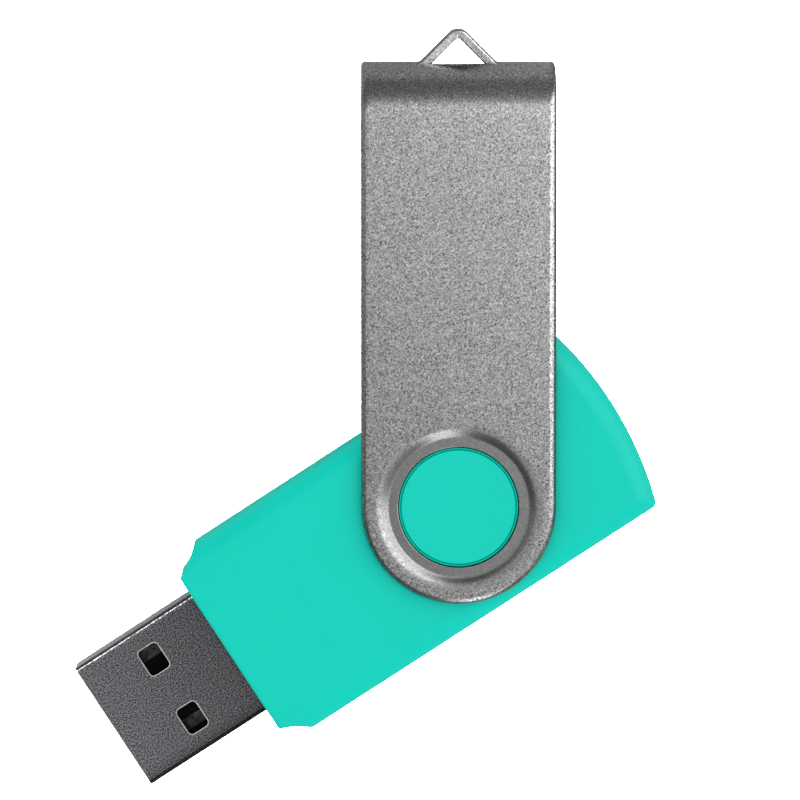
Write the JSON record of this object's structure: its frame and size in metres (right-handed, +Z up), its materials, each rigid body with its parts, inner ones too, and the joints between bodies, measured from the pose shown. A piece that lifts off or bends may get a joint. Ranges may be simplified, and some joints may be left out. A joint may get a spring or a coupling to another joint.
{
  "type": "usb flash drive",
  "caption": "Flash drive with a rounded plastic casing, a standard-A plug and a U-shaped sheet-metal cover that swivels round a boss and carries a lanyard eye.",
  "frame": {"origin": "middle of the plug's mouth", "axes": "+X the way the plug points, +Z up out of the casing's upper face, the cover at rest swung out to -Y"},
  "size_m": [0.0627, 0.0455, 0.01],
  "materials": {
    "casing_plastic": "smooth satin",
    "cover_aluminium": "bead-blasted satin",
    "plug_steel": "plated, fine grain",
    "insulator_plastic": "moulded",
    "contact_nickel": "nickel plated",
    "pad_gold": "gold plated",
    "board_laminate": "solder mask",
    "chip_moulding": "moulded epoxy",
    "tinned_lead": "tin plated",
    "crystal_ceramic": "fired ceramic",
    "crystal_steel": "pressed",
    "capacitor_ceramic": "fired ceramic",
    "resistor_coating": "coated",
    "ferrite": "sintered",
    "solder": "bright"
  },
  "bodies": {
    "drive": {"upper_casing": "casing_plastic", "lower_casing": "casing_plastic", "plug_shell": "plug_steel", "plug_insulator": "insulator_plastic", "vbus_contact": "contact_nickel", "data_minus_contact": "contact_nickel", "data_plus_contact": "contact_nickel", "ground_contact": "contact_nickel", "circuit_board": "board_laminate", "board_pads": "pad_gold", "flash_memory_chip": "chip_moulding", "flash_memory_leads": "tinned_lead", "controller_chip": "chip_moulding", "controller_leads": "tinned_lead", "crystal_base": "crystal_ceramic", "crystal_can": "crystal_steel", "capacitors": "capacitor_ceramic", "resistors": "resistor_coating", "ferrite_bead": "ferrite", "passive_end_caps": "tinned_lead", "contact_solder": "solder", "shell_solder": "solder"},
    "cover": {"swivel_cover": "cover_aluminium"}
  },
  "joints": [
    {"name": "cover_swivel", "type": "hinge", "parent": "drive", "child": "cover", "pos_m": [-0.0353, 0, 0], "axis": [0, 0, 1], "continuous": true}
  ]
}
